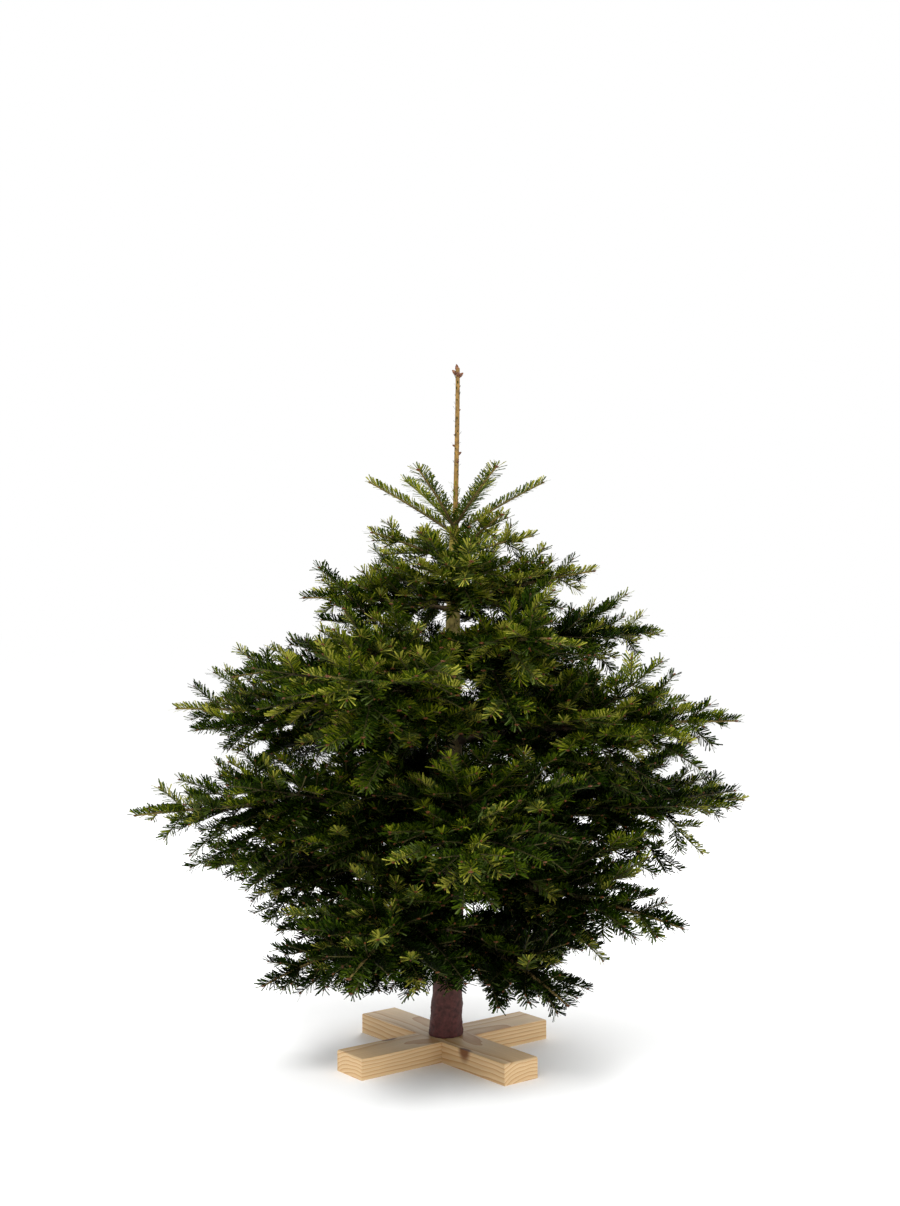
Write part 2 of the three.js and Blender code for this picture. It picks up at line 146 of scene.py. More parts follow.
def noise_at(tree, vector, scale, detail, **more):
    """A node that gives noise at a place."""
    inputs = {"Vector": vector, "Scale": scale, "Detail": detail, **more}
    return add_node(tree, "ShaderNodeTexNoise", inputs=inputs)


def map_range(tree, value, ends, new_ends, interpolation="LINEAR"):
    """A value brought from between two ends to between two others, and held there."""
    inputs = {"Value": value, "From Min": ends[0], "From Max": ends[1]}
    inputs |= {"To Min": new_ends[0], "To Max": new_ends[1]}
    node = add_node(tree, "ShaderNodeMapRange", {"interpolation_type": interpolation}, inputs)
    return node.outputs["Result"]


def add_bump(tree, shader, strength, distance, height):
    """Makes a surface look rough by a height that changes over it."""
    bump = add_node(
        tree, "ShaderNodeBump", inputs={"Strength": strength, "Distance": distance, "Height": height}
    )
    tree.links.new(bump.outputs["Normal"], shader.inputs["Normal"])


def planed_spruce(name, heading):
    """Planed softwood: pale early wood and browner late wood in rings about a heart that runs along the
    board, a few knots, and fine fibres that give it its dull sheen."""
    material, tree, shader = finish_of(name, 0.55, 0.35)
    place = add_node(tree, "ShaderNodeTexCoord")
    turned = add_node(
        tree,
        "ShaderNodeVectorRotate",
        {"rotation_type": "Z_AXIS"},
        {"Vector": place.outputs["Object"], "Angle": math.radians(-heading)},
    ).outputs["Vector"]
    lifted = vector_math(tree, "ADD", {0: turned, 1: (0.0, PITH_BESIDE, PITH_BELOW)}).outputs["Vector"]
    drawn_out = vector_math(tree, "MULTIPLY", {0: lifted, 1: (0.22, 1.0, 1.0)})
    sway = noise_at(tree, drawn_out.outputs["Vector"], 9.0, 2.0)
    swayed = vector_math(
        tree, "MULTIPLY_ADD", {0: sway.outputs["Color"], 1: (0.0, RING_SWAY, RING_SWAY), 2: lifted}
    )
    rings = add_node(
        tree,
        "ShaderNodeTexWave",
        {"wave_type": "RINGS", "rings_direction": "X", "wave_profile": "SAW"},
        {
            "Vector": swayed.outputs["Vector"],
            "Scale": 2 * math.pi / (WAVE_RADIANS * RING_SPACING),
            "Distortion": 1.2,
            "Detail": 2.0,
            "Detail Scale": 0.6,
        },
    )
    wood = add_node(tree, "ShaderNodeValToRGB", inputs={"Fac": rings.outputs["Fac"]})
    wood.color_ramp.elements[0].color = linear("#dcc096")
    wood.color_ramp.elements[1].color = linear("#b98955")
    wood.color_ramp.elements.new(0.62).color = linear("#d3b182")
    fibre_place = vector_math(tree, "MULTIPLY", {0: turned, 1: FIBRE_CELLS})
    fibres = noise_at(tree, fibre_place.outputs["Vector"], 1.0, 3.0).outputs["Fac"]
    fibre_shade = map_range(tree, fibres, (0.3, 0.7), (0.86, 1.06))
    knot_place = vector_math(tree, "MULTIPLY", {0: turned, 1: KNOT_CELLS})
    knots = add_node(
        tree,
        "ShaderNodeTexVoronoi",
        {"feature": "F1"},
        {"Vector": knot_place.outputs["Vector"], "Scale": 1.0, "Randomness": 0.9},
    )
    knot_share = map_range(tree, knots.outputs["Distance"], (0.07, 0.16), (1.0, 0.0), "SMOOTHSTEP")
    fibred = vector_math(tree, "SCALE", {0: wood.outputs["Color"], "Scale": fibre_shade})
    colour = add_node(
        tree,
        "ShaderNodeMix",
        {"data_type": "RGBA"},
        {"Factor": knot_share, 6: fibred.outputs["Vector"], 7: linear("#74492a")},
    )
    tree.links.new(colour.outputs[2], shader.inputs["Base Color"])
    add_bump(tree, shader, 0.35, 0.0004, fibres)
    return material


for board, heading in BOARD_HEADINGS.items():
    spruce = planed_spruce("planed_spruce_" + board[6:11], heading)
    bpy.data.objects[board].material_slots[0].material = spruce


# ---------------------------------------------------------------- stand: screws
# Two wood screws come up through the boards' crossing into the cut. They are zinc-plated steel, with a
# faintly yellow, cloudy shine.

zinc, zinc_nodes, zinc_shader = finish_of("zinc_plated_steel", 0.35, metallic=1.0)
zinc_place = add_node(zinc_nodes, "ShaderNodeTexCoord")
cloud = noise_at(zinc_nodes, zinc_place.outputs["Object"], 400.0, 3.0)
zinc_colour = add_node(zinc_nodes, "ShaderNodeValToRGB", inputs={"Fac": cloud.outputs["Fac"]})
zinc_colour.color_ramp.elements[0].color = linear("#a9a795")
zinc_colour.color_ramp.elements[1].color = linear("#cfcdbd")
zinc_nodes.links.new(zinc_colour.outputs["Color"], zinc_shader.inputs["Base Color"])
for screw in ("stand_screw_1", "stand_screw_2"):
    bpy.data.objects[screw].material_slots[0].material = zinc


# ---------------------------------------------------------------- trunk
# The stem of a young fir: nearly a cone of smooth bark with blisters of resin, red-brown and flaking at
# the foot, grey-brown to olive above, and one year's slim ochre leader on top. It is sawn flat below.

CUT_HEIGHT = 0.0453  # the trunk's sawn foot above the floor
TRUNK = SimpleNamespace(
    height=1.5,
    foot_radius=0.0355,
    shoulder_radius=0.0105,
    taper=0.95,
    flare=0.0035,
    flare_height=0.04,
    leader_foot=1.133,
    leader_radius=0.0054,
    tip_radius=0.0042,
    lean=0.022,
    crook=0.003,
    crook_length=0.19,
)
BARK = SimpleNamespace(  # how far each thing stands out or goes in, and over what height or radius
    skin=0.0004,
    wrinkle=0.0004,
    blister=0.0026,
    flake=0.0026,
    crack=0.004,
    flaking_height=0.11,
    full_from_radius=0.018,
    worn_edge=0.0012,
    worn_height=0.003,
)
SHOULDER_BELOW = 0.017  # how far under the leader's foot the stem begins to narrow to it
SHOULDER_HEIGHT = 0.038


def trunk_centre(height):
    """The middle of the trunk at a height above the cut."""
    share = height / TRUNK.leader_foot
    along = height / TRUNK.crook_length
    return np.stack(
        [
            TRUNK.lean * share * (1.5 - 0.5 * share) + TRUNK.crook * np.sin(along),
            TRUNK.crook * np.sin(1.3 * along),
            CUT_HEIGHT + height,
        ],
        axis=-1,
    )


def trunk_radius(height):
    """The trunk's radius at a height: a cone with a flared foot, and a slim leader on top of it."""
    height = np.maximum(0.0, height)
    share = np.maximum(0.0, 1 - height / TRUNK.leader_foot) ** TRUNK.taper
    cone = TRUNK.shoulder_radius + (TRUNK.foot_radius - TRUNK.shoulder_radius) * share
    cone = cone + TRUNK.flare * np.exp(-height / TRUNK.flare_height)
    up_leader = np.clip((height - TRUNK.leader_foot) / (TRUNK.height - TRUNK.leader_foot), 0, 1)
    leader = TRUNK.leader_radius + (TRUNK.tip_radius - TRUNK.leader_radius) * up_leader
    return np.where(height < TRUNK.leader_foot, cone, leader)


def tube_faces(rings, sides, first=0):
    """The faces of a tube whose corners go round ring by ring, with its two flat ends."""
    ring, side = np.meshgrid(np.arange(rings - 1), np.arange(sides), indexing="ij")
    low, low_beside = ring * sides + side, ring * sides + (side + 1) % sides
    walls = np.stack([low, low_beside, low_beside + sides, low + sides], axis=-1).reshape(-1, 4) + first
    last = first + (rings - 1) * sides
    return walls.tolist() + [list(range(first + sides - 1, first - 1, -1)), list(range(last, last + sides))]


def rounded_piece(name, corners, faces):
    """A smoothly shaded object from corners and faces, in the scene."""
    mesh = bpy.data.meshes.new(name)
    mesh.from_pydata(np.asarray(corners).tolist(), [], faces)
    mesh.polygons.foreach_set("use_smooth", np.array([len(face) < 5 for face in faces]))
    made = bpy.data.objects.new(name, mesh)
    bpy.context.scene.collection.objects.link(made)
    return made


def bark_relief(centre, angle, radius, height):
    """How far the bark stands out at a place: fine wrinkles, blisters, and at the foot loose flakes."""
    x, y = centre[0] + radius * math.cos(angle), centre[1] + radius * math.sin(angle)
    wrinkle = noise.noise(Vector((x * 110, y * 110, height * 300)))
    blister = max(0.0, noise.noise(Vector((x * 70, y * 70, height * 85))) - 0.18)
    flake = noise.fractal(Vector((x * 62, y * 62, height * 40)), 0.7, 2.2, 4)
    crack = -abs(noise.noise(Vector((x * 48, y * 48, height * 26))))
    low = math.exp(-height / BARK.flaking_height)
    at_foot = low * (BARK.flake * flake + BARK.crack * crack)
    return BARK.wrinkle * wrinkle + BARK.blister * blister * (1 - low) + at_foot


def make_trunk():
    """The trunk with its bark, from the sawn foot to just under the bud at its tip."""
    sides = 64
    heights = np.concatenate(
        [
            np.linspace(0, 0.15, 75, endpoint=False),
            np.linspace(0.15, TRUNK.leader_foot - 0.014, 250, endpoint=False),
            np.linspace(TRUNK.leader_foot - 0.014, TRUNK.height - 0.010, 90),
        ]
    )
    angles = np.arange(sides) * 2 * math.pi / sides
    shoulder = np.clip((heights - TRUNK.leader_foot + SHOULDER_BELOW) / SHOULDER_HEIGHT, 0, 1)
    radii = trunk_radius(np.minimum(heights, TRUNK.leader_foot - SHOULDER_BELOW)) * (1 - shoulder)
    radii = radii + trunk_radius(np.maximum(heights, TRUNK.leader_foot + 0.001)) * shoulder
    corners = []
    for height, radius, centre in zip(heights, radii, trunk_centre(heights)):
        for angle in angles:
            relief = bark_relief(centre, angle, radius, height) * min(1.0, radius / BARK.full_from_radius)
            grown = radius + BARK.skin + relief - BARK.worn_edge * math.exp(-height / BARK.worn_height)
            x, y = centre[0] + grown * math.cos(angle), centre[1] + grown * math.sin(angle)
            corners.append((x, y, centre[2]))
    return rounded_piece("trunk_with_bark", corners, tube_faces(len(heights), sides))


def fir_bark(name, stops, along):
    """Living fir bark, whose colour goes through stops up the trunk, or by an attribute of the mesh. It is
    mottled in patches of about a centimetre, with a dull, slightly waxy surface."""
    material, tree, shader = finish_of(name, 0.7, 0.35)
    place = add_node(tree, "ShaderNodeTexCoord")
    if along:
        share = add_node(tree, "ShaderNodeAttribute", {"attribute_name": along}).outputs["Fac"]
    else:
        split = add_node(tree, "ShaderNodeSeparateXYZ", inputs={"Vector": place.outputs["Object"]})
        share = map_range(tree, split.outputs["Z"], (CUT_HEIGHT, CUT_HEIGHT + TRUNK.height), (0.0, 1.0))
    ramp = add_node(tree, "ShaderNodeValToRGB", inputs={"Fac": share})
    while len(ramp.color_ramp.elements) < len(stops):
        ramp.color_ramp.elements.new(0.5)
    for element, (position, colour) in zip(ramp.color_ramp.elements, stops):
        element.position = position
        element.color = linear(colour)
    mottle = noise_at(tree, place.outputs["Object"], 95.0, 4.0, Roughness=0.7).outputs["Fac"]
    shade = map_range(tree, mottle, (0.3, 0.72), (0.4, 1.7))
    shaded = vector_math(tree, "SCALE", {0: ramp.outputs["Color"], "Scale": shade})
    tree.links.new(shaded.outputs["Vector"], shader.inputs["Base Color"])
    add_bump(tree, shader, 0.6, 0.0006, mottle)
    return material


TRUNK_COLOURS = [
    (0.0, "#4e2624"),
    (0.07, "#52302b"),
    (0.25, "#554638"),
    (0.58, "#8a7c48"),
    (0.72, "#988838"),
    (0.79, "#7d6029"),
    (1.0, "#785c2e"),
]
trunk = make_trunk()
trunk.data.materials.append(fir_bark("smooth_fir_bark", TRUNK_COLOURS, None))
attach(trunk, "root")


# ---------------------------------------------------------------- buds of the leader
# Five plump winter buds end the leader, one upright and four leaning out round it, and small ones sit along
# it. They are closed by overlapping brown scales under a thin coat of resin.

LEADER_BUDS = [  # heading and tilt in degrees, how far below the first, and size
    (200, 10, 0.0, 1.0),
    (176, 46, 0.008, 1.0),
    (350, 50, 0.013, 0.95),
    (275, 54, 0.011, 0.9),
    (80, 56, 0.012, 0.9),
    (340, 64, 0.088, 0.5),
    (184, 62, 0.144, 0.5),
    (160, 70, 0.167, 0.66),
    (12, 58, 0.186, 0.75),
    (300, 64, 0.204, 0.66),
    (95, 66, 0.232, 0.6),
    (205, 70, 0.268, 0.55),
    (330, 66, 0.296, 0.55),
]
BUD_LENGTH = 0.018
BUD_RADIUS = 0.0052


def bud_corners(length, radius, rings, sides):
    """A bud that stands on its end along Z, with a few rows of scales whose edges stand out a little."""
    corners = []
    for ring in range(rings):
        share = (ring + 0.5) / rings
        outline = math.sin(math.pi * share**0.8) ** 0.75
        for side in range(sides):
            angle = 2 * math.pi * (side + 0.5 * ring) / sides
            scale = 1 + 0.16 * ((ring % 3) / 3) + 0.06 * math.cos(3 * angle + ring // 3)
            reach = radius * outline * scale / 1.2
            corners.append((reach * math.cos(angle), reach * math.sin(angle), length * share))
    return np.array(corners)


def make_leader_buds():
    """The leader's buds as one piece."""
    rings, sides = 12, 12
    corners, faces = [], []
    for heading, tilt, drop, size in LEADER_BUDS:
        foot = trunk_centre(TRUNK.height - BUD_LENGTH - drop)
        turn = Matrix.Rotation(math.radians(heading), 3, "Z") @ Matrix.Rotation(math.radians(tilt), 3, "Y")
        faces += tube_faces(rings, sides, len(corners))
        bud = size * bud_corners(BUD_LENGTH, BUD_RADIUS, rings, sides)
        corners += (bud @ np.array(turn).T + foot).tolist()
    return rounded_piece("leader_buds", corners, faces)


def bud_scales(name, dark, light):
    """Dry bud scales under resin: brown, lighter where the resin is thick, with a sticky shine."""
    material, tree, shader = finish_of(name, 0.45, 0.3)
    place = add_node(tree, "ShaderNodeTexCoord")
    patches = noise_at(tree, place.outputs["Object"], 260.0, 3.0)
    ramp = add_node(tree, "ShaderNodeValToRGB", inputs={"Fac": patches.outputs["Fac"]})
    ramp.color_ramp.elements[0].position = 0.35
    ramp.color_ramp.elements[0].color = linear(dark)
    ramp.color_ramp.elements[1].position = 0.68
    ramp.color_ramp.elements[1].color = linear(light)
    tree.links.new(ramp.outputs["Color"], shader.inputs["Base Color"])
    return material


leader_buds = make_leader_buds()
leader_buds.data.materials.append(bud_scales("resinous_leader_buds", "#472718", "#86593a"))
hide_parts("trunk")
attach(leader_buds, "root")


# ---------------------------------------------------------------- limbs
# Each whorl is one year's ring of limbs round the stem. A limb is one tapering rod of thin bark that grows
# on as the stem of its own mass of foliage. Near the trunk the lower limbs bear only weak twigs.

WHORLS = [  # lengths in millimetres and angles in degrees
    dict(foot=1133, limbs=6, turn=4, seed=1, length=254, slope=36, lift=-8, bare=0, yearly=290, root=3.4),
    dict(foot=1052, limbs=4, turn=24, seed=5602, length=220, slope=27, lift=-12, bare=0, yearly=84, root=4.2),
    dict(foot=965, limbs=5, turn=-10, seed=3203, length=357, slope=16, lift=-12, bare=0, yearly=98, root=5.6),
    dict(foot=830, limbs=4, turn=18, seed=4317, length=541, slope=12, lift=-17, bare=50, yearly=112, root=8),
    dict(foot=683, limbs=4, turn=-23, seed=2005, length=695, slope=12, lift=-8, bare=58, yearly=118, root=9.5),
    dict(foot=515, limbs=4, turn=16, seed=3906, length=674, slope=4, lift=-13, bare=62, yearly=120, root=10.5),
    dict(foot=344, limbs=4, turn=-22, seed=2307, length=608, slope=6, lift=-15, bare=62, yearly=115, root=10.5),
    dict(foot=206, limbs=4, turn=35, seed=2826, length=455, slope=5, lift=-26, bare=64, yearly=105, root=9),
]
COURSE_STEPS = 10
HEADING_JITTER = 9  # degrees, as are the next one, SWAY and LIMB_ROLL
SLOPE_JITTER = 6
LENGTH_JITTER = 0.08
FOOT_SPREAD = 0.06  # how far up or down a limb leaves the trunk within its whorl, over its length
SWAY = 9
LIMB_ROLL = 12
LIMB_TIP_RADIUS = 0.0015
OLDEST_LIMB = 0.700  # a limb this long has its oldest bark where it leaves the stem
WOOD_SHORT_OF_TIP = 0.014  # the wood ends this far inside the tips of its last needles


def chance(number):
    """A whole number's own share of chance, from 0 to 1."""
    mixed = number & 0xFFFFFFFF
    for _ in range(2):
        mixed = ((mixed ^ (mixed >> 16)) * 0x45D9F3B) & 0xFFFFFFFF
    return (mixed ^ (mixed >> 16)) / 4294967296


def swing(twig, trait):
    """The same from -1 to 1, for one of eight traits of a twig."""
    return 2 * chance(twig * 8 + trait) - 1


def child_of(twig, place):
    """The number of a twig at a place on its parent."""
    return (twig * 19 + place + 1) % 4294967296


def compass(heading, slope):
    """The unit vectors along, across and over a rod that points to a heading and a slope."""
    heading, slope = np.broadcast_arrays(np.asarray(heading, dtype=float), np.asarray(slope, dtype=float))
    ch, sh, cs, ss = np.cos(heading), np.sin(heading), np.cos(slope), np.sin(slope)
    return (
        np.stack([cs * ch, cs * sh, ss], axis=-1),
        np.stack([sh, -ch, np.zeros_like(ch)], axis=-1),
        np.stack([-ss * ch, -ss * sh, cs], axis=-1),
    )


def course_from(root, heading, slope, turn, lift, length):
    """The line of a rod from its root, whose heading and slope change evenly by turn and lift."""
    share = (np.arange(COURSE_STEPS) + 0.5) / COURSE_STEPS
    steps = compass(heading + turn * share, slope + lift * share)[0] * length / COURSE_STEPS
    return SimpleNamespace(
        places=np.vstack([root, root + np.cumsum(steps, axis=0)]),
        heading=heading,
        slope=slope,
        turn=turn,
        lift=lift,
        whole=length,
    )


def stations(course, distances):
    """The places on a course at some distances, and the unit vectors along, across and over it there."""
    share = np.clip(np.asarray(distances, dtype=float) / course.whole, 0, 1)
    marks = np.linspace(0, 1, COURSE_STEPS + 1)
    places = np.stack([np.interp(share, marks, course.places[:, axis]) for axis in range(3)], axis=-1)
    return places, compass(course.heading + course.turn * share, course.slope + course.lift * share)


def grow_limbs():
    """Every limb of the tree, from the top whorl down."""
    found = []
    for tier, row in enumerate(WHORLS):
        whorl = SimpleNamespace(**row)
        for place in range(whorl.limbs):
            number = child_of(whorl.seed, place)
            even_turn = whorl.turn + 360 * place / whorl.limbs
            heading = math.radians(even_turn + HEADING_JITTER * swing(number, 0))
            slope = math.radians(whorl.slope + SLOPE_JITTER * swing(number, 1))
            length = whorl.length / 1000 * (1 + LENGTH_JITTER * swing(number, 2))
            turn = math.radians(SWAY * swing(number, 3))
            height = (whorl.foot + FOOT_SPREAD * whorl.length * swing(number, 4)) / 1000
            lift = math.radians(whorl.lift)
            course = course_from(trunk_centre(height), heading, slope, turn, lift, length)
            limb = SimpleNamespace(
                number=number,
                tier=tier + 1,
                place=place + 1,
                index=len(found),
                course=course,
                length=length,
                roll=math.radians(LIMB_ROLL * swing(number, 5)),
                yearly=whorl.yearly / 1000,
                bare=whorl.bare / 1000,
                radius=whorl.root / 1000,
                leaves_trunk=float(trunk_radius(height)),
                order=0,
                upright=False,
            )
            limb.limb = limb
            found.append(limb)
    return found


def make_limbs(name, some):
    """Some limbs' wood as one piece, each from inside the stem to its tip, with a collar where it leaves
    the stem and small swellings along it. Each corner knows how young its bark is, up to 1 at the tip."""
    sides = 10
    corners, faces, growth = [], [], []
    angles = np.arange(sides) * 2 * math.pi / sides
    for limb in some:
        distances = np.linspace(0, limb.length - WOOD_SHORT_OF_TIP, max(14, int(limb.length / 0.013)))
        places, (_, across, over) = stations(limb.course, distances)
        radii = limb.radius + (LIMB_TIP_RADIUS - limb.radius) * distances / limb.length
        collar = np.maximum(0, distances - limb.leaves_trunk) / 0.008
        radii = radii * (1 + 0.4 * np.exp(-collar))
        swelling = 0.05 * np.sin(distances[:, None] * 95 + angles * 2 + limb.index)
        swelling = swelling + 0.03 * np.sin(distances[:, None] * 410 + angles * 3)
        grown = (radii[:, None] * (1 + swelling))[..., None]
        round_it = np.cos(angles)[:, None] * over[:, None] + np.sin(angles)[:, None] * across[:, None]
        faces += tube_faces(len(distances), sides, sum(len(c) for c in corners))
        corners.append((places[:, None] + grown * round_it).reshape(-1, 3))
        growth.append(np.repeat(1 - (limb.length - distances) / OLDEST_LIMB, sides))
    made = rounded_piece(name, np.concatenate(corners), faces)
    share = made.data.attributes.new("growth", "FLOAT", "POINT")
    share.data.foreach_set("value", np.concatenate(growth).astype(np.float32))
    return made


# the limbs' grey-brown to olive bark, painted darker as the shade inside the crown
LIMB_COLOURS = [(0.0, "#43362c"), (0.3, "#46382a"), (0.65, "#52432a"), (1.0, "#7d6a37")]
limbs = grow_limbs()
limb_wood = make_limbs("limbs_with_bark", limbs)
limb_wood.data.materials.append(fir_bark("young_fir_bark", LIMB_COLOURS, "growth"))
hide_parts(*[f"bough_{limb.tier}_{limb.place}" for limb in limbs if limb.bare])
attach(limb_wood, "root")


# ---------------------------------------------------------------- twigs
# Side twigs stand in pairs a year's growth apart, shorter towards the tip, with pairs of their own and
# weaker ones between. Limbs carry one more on their top and underside. Twigs are 3 to 6 mm thick at the
# root, with dark brown to olive bark that is painted darker still as the shade inside the crown.

FORK_ANGLE = 50  # degrees, as are the other angles, bends, lifts and rolls here
FORK_JITTER = 9
UPRIGHT_ANGLE = 42
UPRIGHT_SHARE = 0.86
SIDE_SHARES = [0.8, 0.7, 0.66]
TWIG_JITTER = 0.16
TWIG_LIFT = 10
FORWARD_BEND = 14
TWIG_ROLL = 40
UPRIGHT_ROLL = 80
YEARLY_SHARE = 0.86
NECK = 0.012
BARE_OF_TWIGS = 0.07  # of a twig's length, from its root
INNERMOST = 99  # the half-year that stands for the set nearest the stem
BESIDE_STEM = (0.018, 0.046)  # how far from the stem's bark the two sets beside it leave the limb
BETWEEN_SHARE = 0.66  # of a yearly twig's length, for the weaker twigs half a year from them
BETWEEN_SIDEWAYS = 0.8
LEAN_ON_LIMB = 0.6  # how far up or down the weaker twigs aim
LEAN_ON_TWIG = 0.35
BETWEEN_NUMBERS = 1000  # sets the weaker twigs' numbers apart from the others'
FIRST_FULL_TIER = 3  # the whorls above it have whole years' twigs alone, which bear none of their own
SHORTEST_TWIG = 0.030
NEEDLE_REACH = 0.020  # half the width of a shoot with its needles
TWIG_ROOT_RADIUS = 0.0021
TWIG_TIP_RADIUS = 0.0011

course_starts = np.stack([limb.course.places[:-1] for limb in limbs])
course_steps = np.stack([np.diff(limb.course.places, axis=0) for limb in limbs])
course_squares = (course_steps**2).sum(axis=-1)


def room(points, own):
    """How much nearer points lie to their own limb than to other limbs, the trunk's bark or the stand."""
    offset = points[:, None, None] - course_starts[None]
    share = np.clip((offset * course_steps[None]).sum(axis=-1) / course_squares[None], 0, 1)
    gaps = np.linalg.norm(offset - share[..., None] * course_steps[None], axis=-1).min(axis=-1)
    height = points[:, 2] - CUT_HEIGHT
    off_axis = np.linalg.norm(points[:, :2] - trunk_centre(height)[:, :2], axis=-1)
    others = np.delete(gaps, own.index, axis=1).min(axis=1)
    nearest = np.minimum(np.minimum(others, off_axis - trunk_radius(height)), height)
    return nearest - gaps[:, own.index]


def length_inside(course, own):
    """The length of a twig that stays, needles and all, in its own limb's space."""
    share = np.arange(1, COURSE_STEPS + 1) / COURSE_STEPS
    at_root = np.minimum(1, 0.25 + 2.4 * share)
    at_tip = 1 - 0.5 * np.maximum(0, (share - 0.55) / 0.45) ** 2
    outside = room(course.places[1:], own) < 0.5 * NEEDLE_REACH * at_root * at_tip
    return course.whole * (np.argmax(outside) if outside.any() else COURSE_STEPS) / COURSE_STEPS


def twig_from(parent, distance, side, up, length, number):
    """A twig that leaves its parent at a distance from the parent's root, with its shares of sideways, -1
    to 1, and of upwards, -1 to 1."""
    place, (along, across, over) = stations(parent.course, distance)
    turned = across * math.cos(parent.roll) + over * math.sin(parent.roll)
    raised = over * math.cos(parent.roll) - across * math.sin(parent.roll)
    angle = math.radians((FORK_ANGLE if side else UPRIGHT_ANGLE) + FORK_JITTER * swing(number, 0))
    tilt = math.radians(FORK_JITTER * swing(number, 1))
    aim = along * math.cos(angle) + turned * math.sin(angle) * (side or 0.5 * swing(number, 2))
    aim = aim + raised * (math.sin(angle) * up + math.sin(tilt))
    aim = aim / np.linalg.norm(aim)
    course = course_from(
        place,
        math.atan2(aim[1], aim[0]),
        math.asin(aim[2]),
        math.radians(side * FORWARD_BEND),
        math.radians(TWIG_LIFT * (swing(number, 3) - up)),
        length,
    )
    return SimpleNamespace(
        number=number,
        course=course,
        length=length_inside(course, parent.limb),
        roll=math.radians((TWIG_ROLL if side else UPRIGHT_ROLL) * swing(number, 5)),
        yearly=parent.yearly * YEARLY_SHARE,
        order=parent.order + 1,
        limb=parent.limb,
        upright=side == 0,
    )


def twigs_of(parent):
    """The twigs of a limb or twig, and all of theirs. Whole years carry the strong twigs, and the middle
    of each year's growth carries weaker ones, which stand out between those. A limb with a bare foot has
    two more weak sets beside the stem."""
    first = parent.bare + NECK if parent.order == 0 else BARE_OF_TWIGS * parent.length
    half_year = parent.yearly / 2
    marks = [(mark, mark * half_year) for mark in range(1, math.ceil((parent.length - first) / half_year))]
    if parent.limb.tier < FIRST_FULL_TIER:
        marks = marks[1::2]
    elif parent.order == 0 and parent.bare:
        for place, gap in enumerate(BESIDE_STEM):
            marks.append((INNERMOST - 2 * place, parent.length - parent.leaves_trunk - gap))
    found = []
    for half_years, beyond in marks:
        between = half_years % 2 == 1
        if between:
            aside = BETWEEN_SIDEWAYS
            lean = LEAN_ON_LIMB if parent.order == 0 else LEAN_ON_TWIG
            places = [(-aside, lean, BETWEEN_SHARE), (aside, -lean, BETWEEN_SHARE)]
            if parent.order == 0:
                places += [(aside, lean, BETWEEN_SHARE), (-aside, -lean, BETWEEN_SHARE)]
            if half_years == INNERMOST:
                places += [(0, 1, BETWEEN_SHARE), (0, -1, BETWEEN_SHARE)]
        else:
            places = [(-1, 0, 1.0), (1, 0, 1.0)]
            if parent.order == 0:
                places += [(0, 1, UPRIGHT_SHARE), (0, -1, UPRIGHT_SHARE)]
        for place, (side, up, share) in enumerate(places):
            number = child_of(parent.number, 2 * half_years + place + (BETWEEN_NUMBERS if between else 0))
            full = share * SIDE_SHARES[parent.order] * beyond * (1 + TWIG_JITTER * swing(number, 4))
            if full < SHORTEST_TWIG:
                continue
            twig = twig_from(parent, parent.length - beyond, side, up, full, number)
            if twig.length < SHORTEST_TWIG:
                continue
            found.append(twig)
            if twig.order < len(SIDE_SHARES) and twig.limb.tier >= FIRST_FULL_TIER:
                found += twigs_of(twig)
    return found


def twig_radius(twig, distances):
    """A twig's or limb's radius at some distances."""
    share = distances / twig.length
    root = twig.radius if twig.order == 0 else TWIG_ROOT_RADIUS * (0.6 + 2.2 * twig.length)
    tip = LIMB_TIP_RADIUS if twig.order == 0 else TWIG_TIP_RADIUS
    return root + (tip - root) * share


def twig_lines(name, some):
    """The middle lines of twigs, whose points know the wood's radius and how young its bark is."""
    points, edges, radii, growth = [], [], [], []
    for twig in some:
        distances = np.linspace(0, twig.length - WOOD_SHORT_OF_TIP, max(3, int(twig.length / 0.03)))
        first = sum(len(p) for p in points)
        points.append(stations(twig.course, distances)[0])
        edges += [(first + i, first + i + 1) for i in range(len(distances) - 1)]
        radii.append(twig_radius(twig, distances))
        growth.append(1 - (twig.length - distances) / OLDEST_LIMB)
    mesh = bpy.data.meshes.new(name)
    mesh.from_pydata(np.concatenate(points).tolist(), edges, [])
    for attribute, values in (("wood_radius", radii), ("growth", growth)):
        made = mesh.attributes.new(attribute, "FLOAT", "POINT")
        made.data.foreach_set("value", np.concatenate(values).astype(np.float32))
    lines = bpy.data.objects.new(name, mesh)
    bpy.context.scene.collection.objects.link(lines)
    return lines


def new_geometry_tree(name, sockets):
    """An empty Geometry Nodes tree with a geometry input and output and some named inputs."""
    tree = bpy.data.node_groups.new(name, "GeometryNodeTree")
    tree.interface.new_socket("Geometry", in_out="INPUT", socket_type="NodeSocketGeometry")
    tree.interface.new_socket("Geometry", in_out="OUTPUT", socket_type="NodeSocketGeometry")
    for socket, kind in sockets.items():
        tree.interface.new_socket(socket, in_out="INPUT", socket_type=kind)
    return tree, tree.nodes.new("NodeGroupInput")


def finish_tree(tree, geometry, material):
    """Ends a tree: its instances become real, and it takes its material."""
    real = add_node(tree, "GeometryNodeRealizeInstances", inputs={"Geometry": geometry})
    faced = add_node(
        tree, "GeometryNodeSetMaterial", inputs={"Geometry": real.outputs["Geometry"], "Material": material}
    )
    add_node(tree, "NodeGroupOutput", inputs={"Geometry": faced.outputs["Geometry"]})


def named_value(tree, kind, name):
    """What each point knows under a name."""
    node = add_node(tree, "GeometryNodeInputNamedAttribute", {"data_type": kind}, {"Name": name})
    return node.outputs["Attribute"]


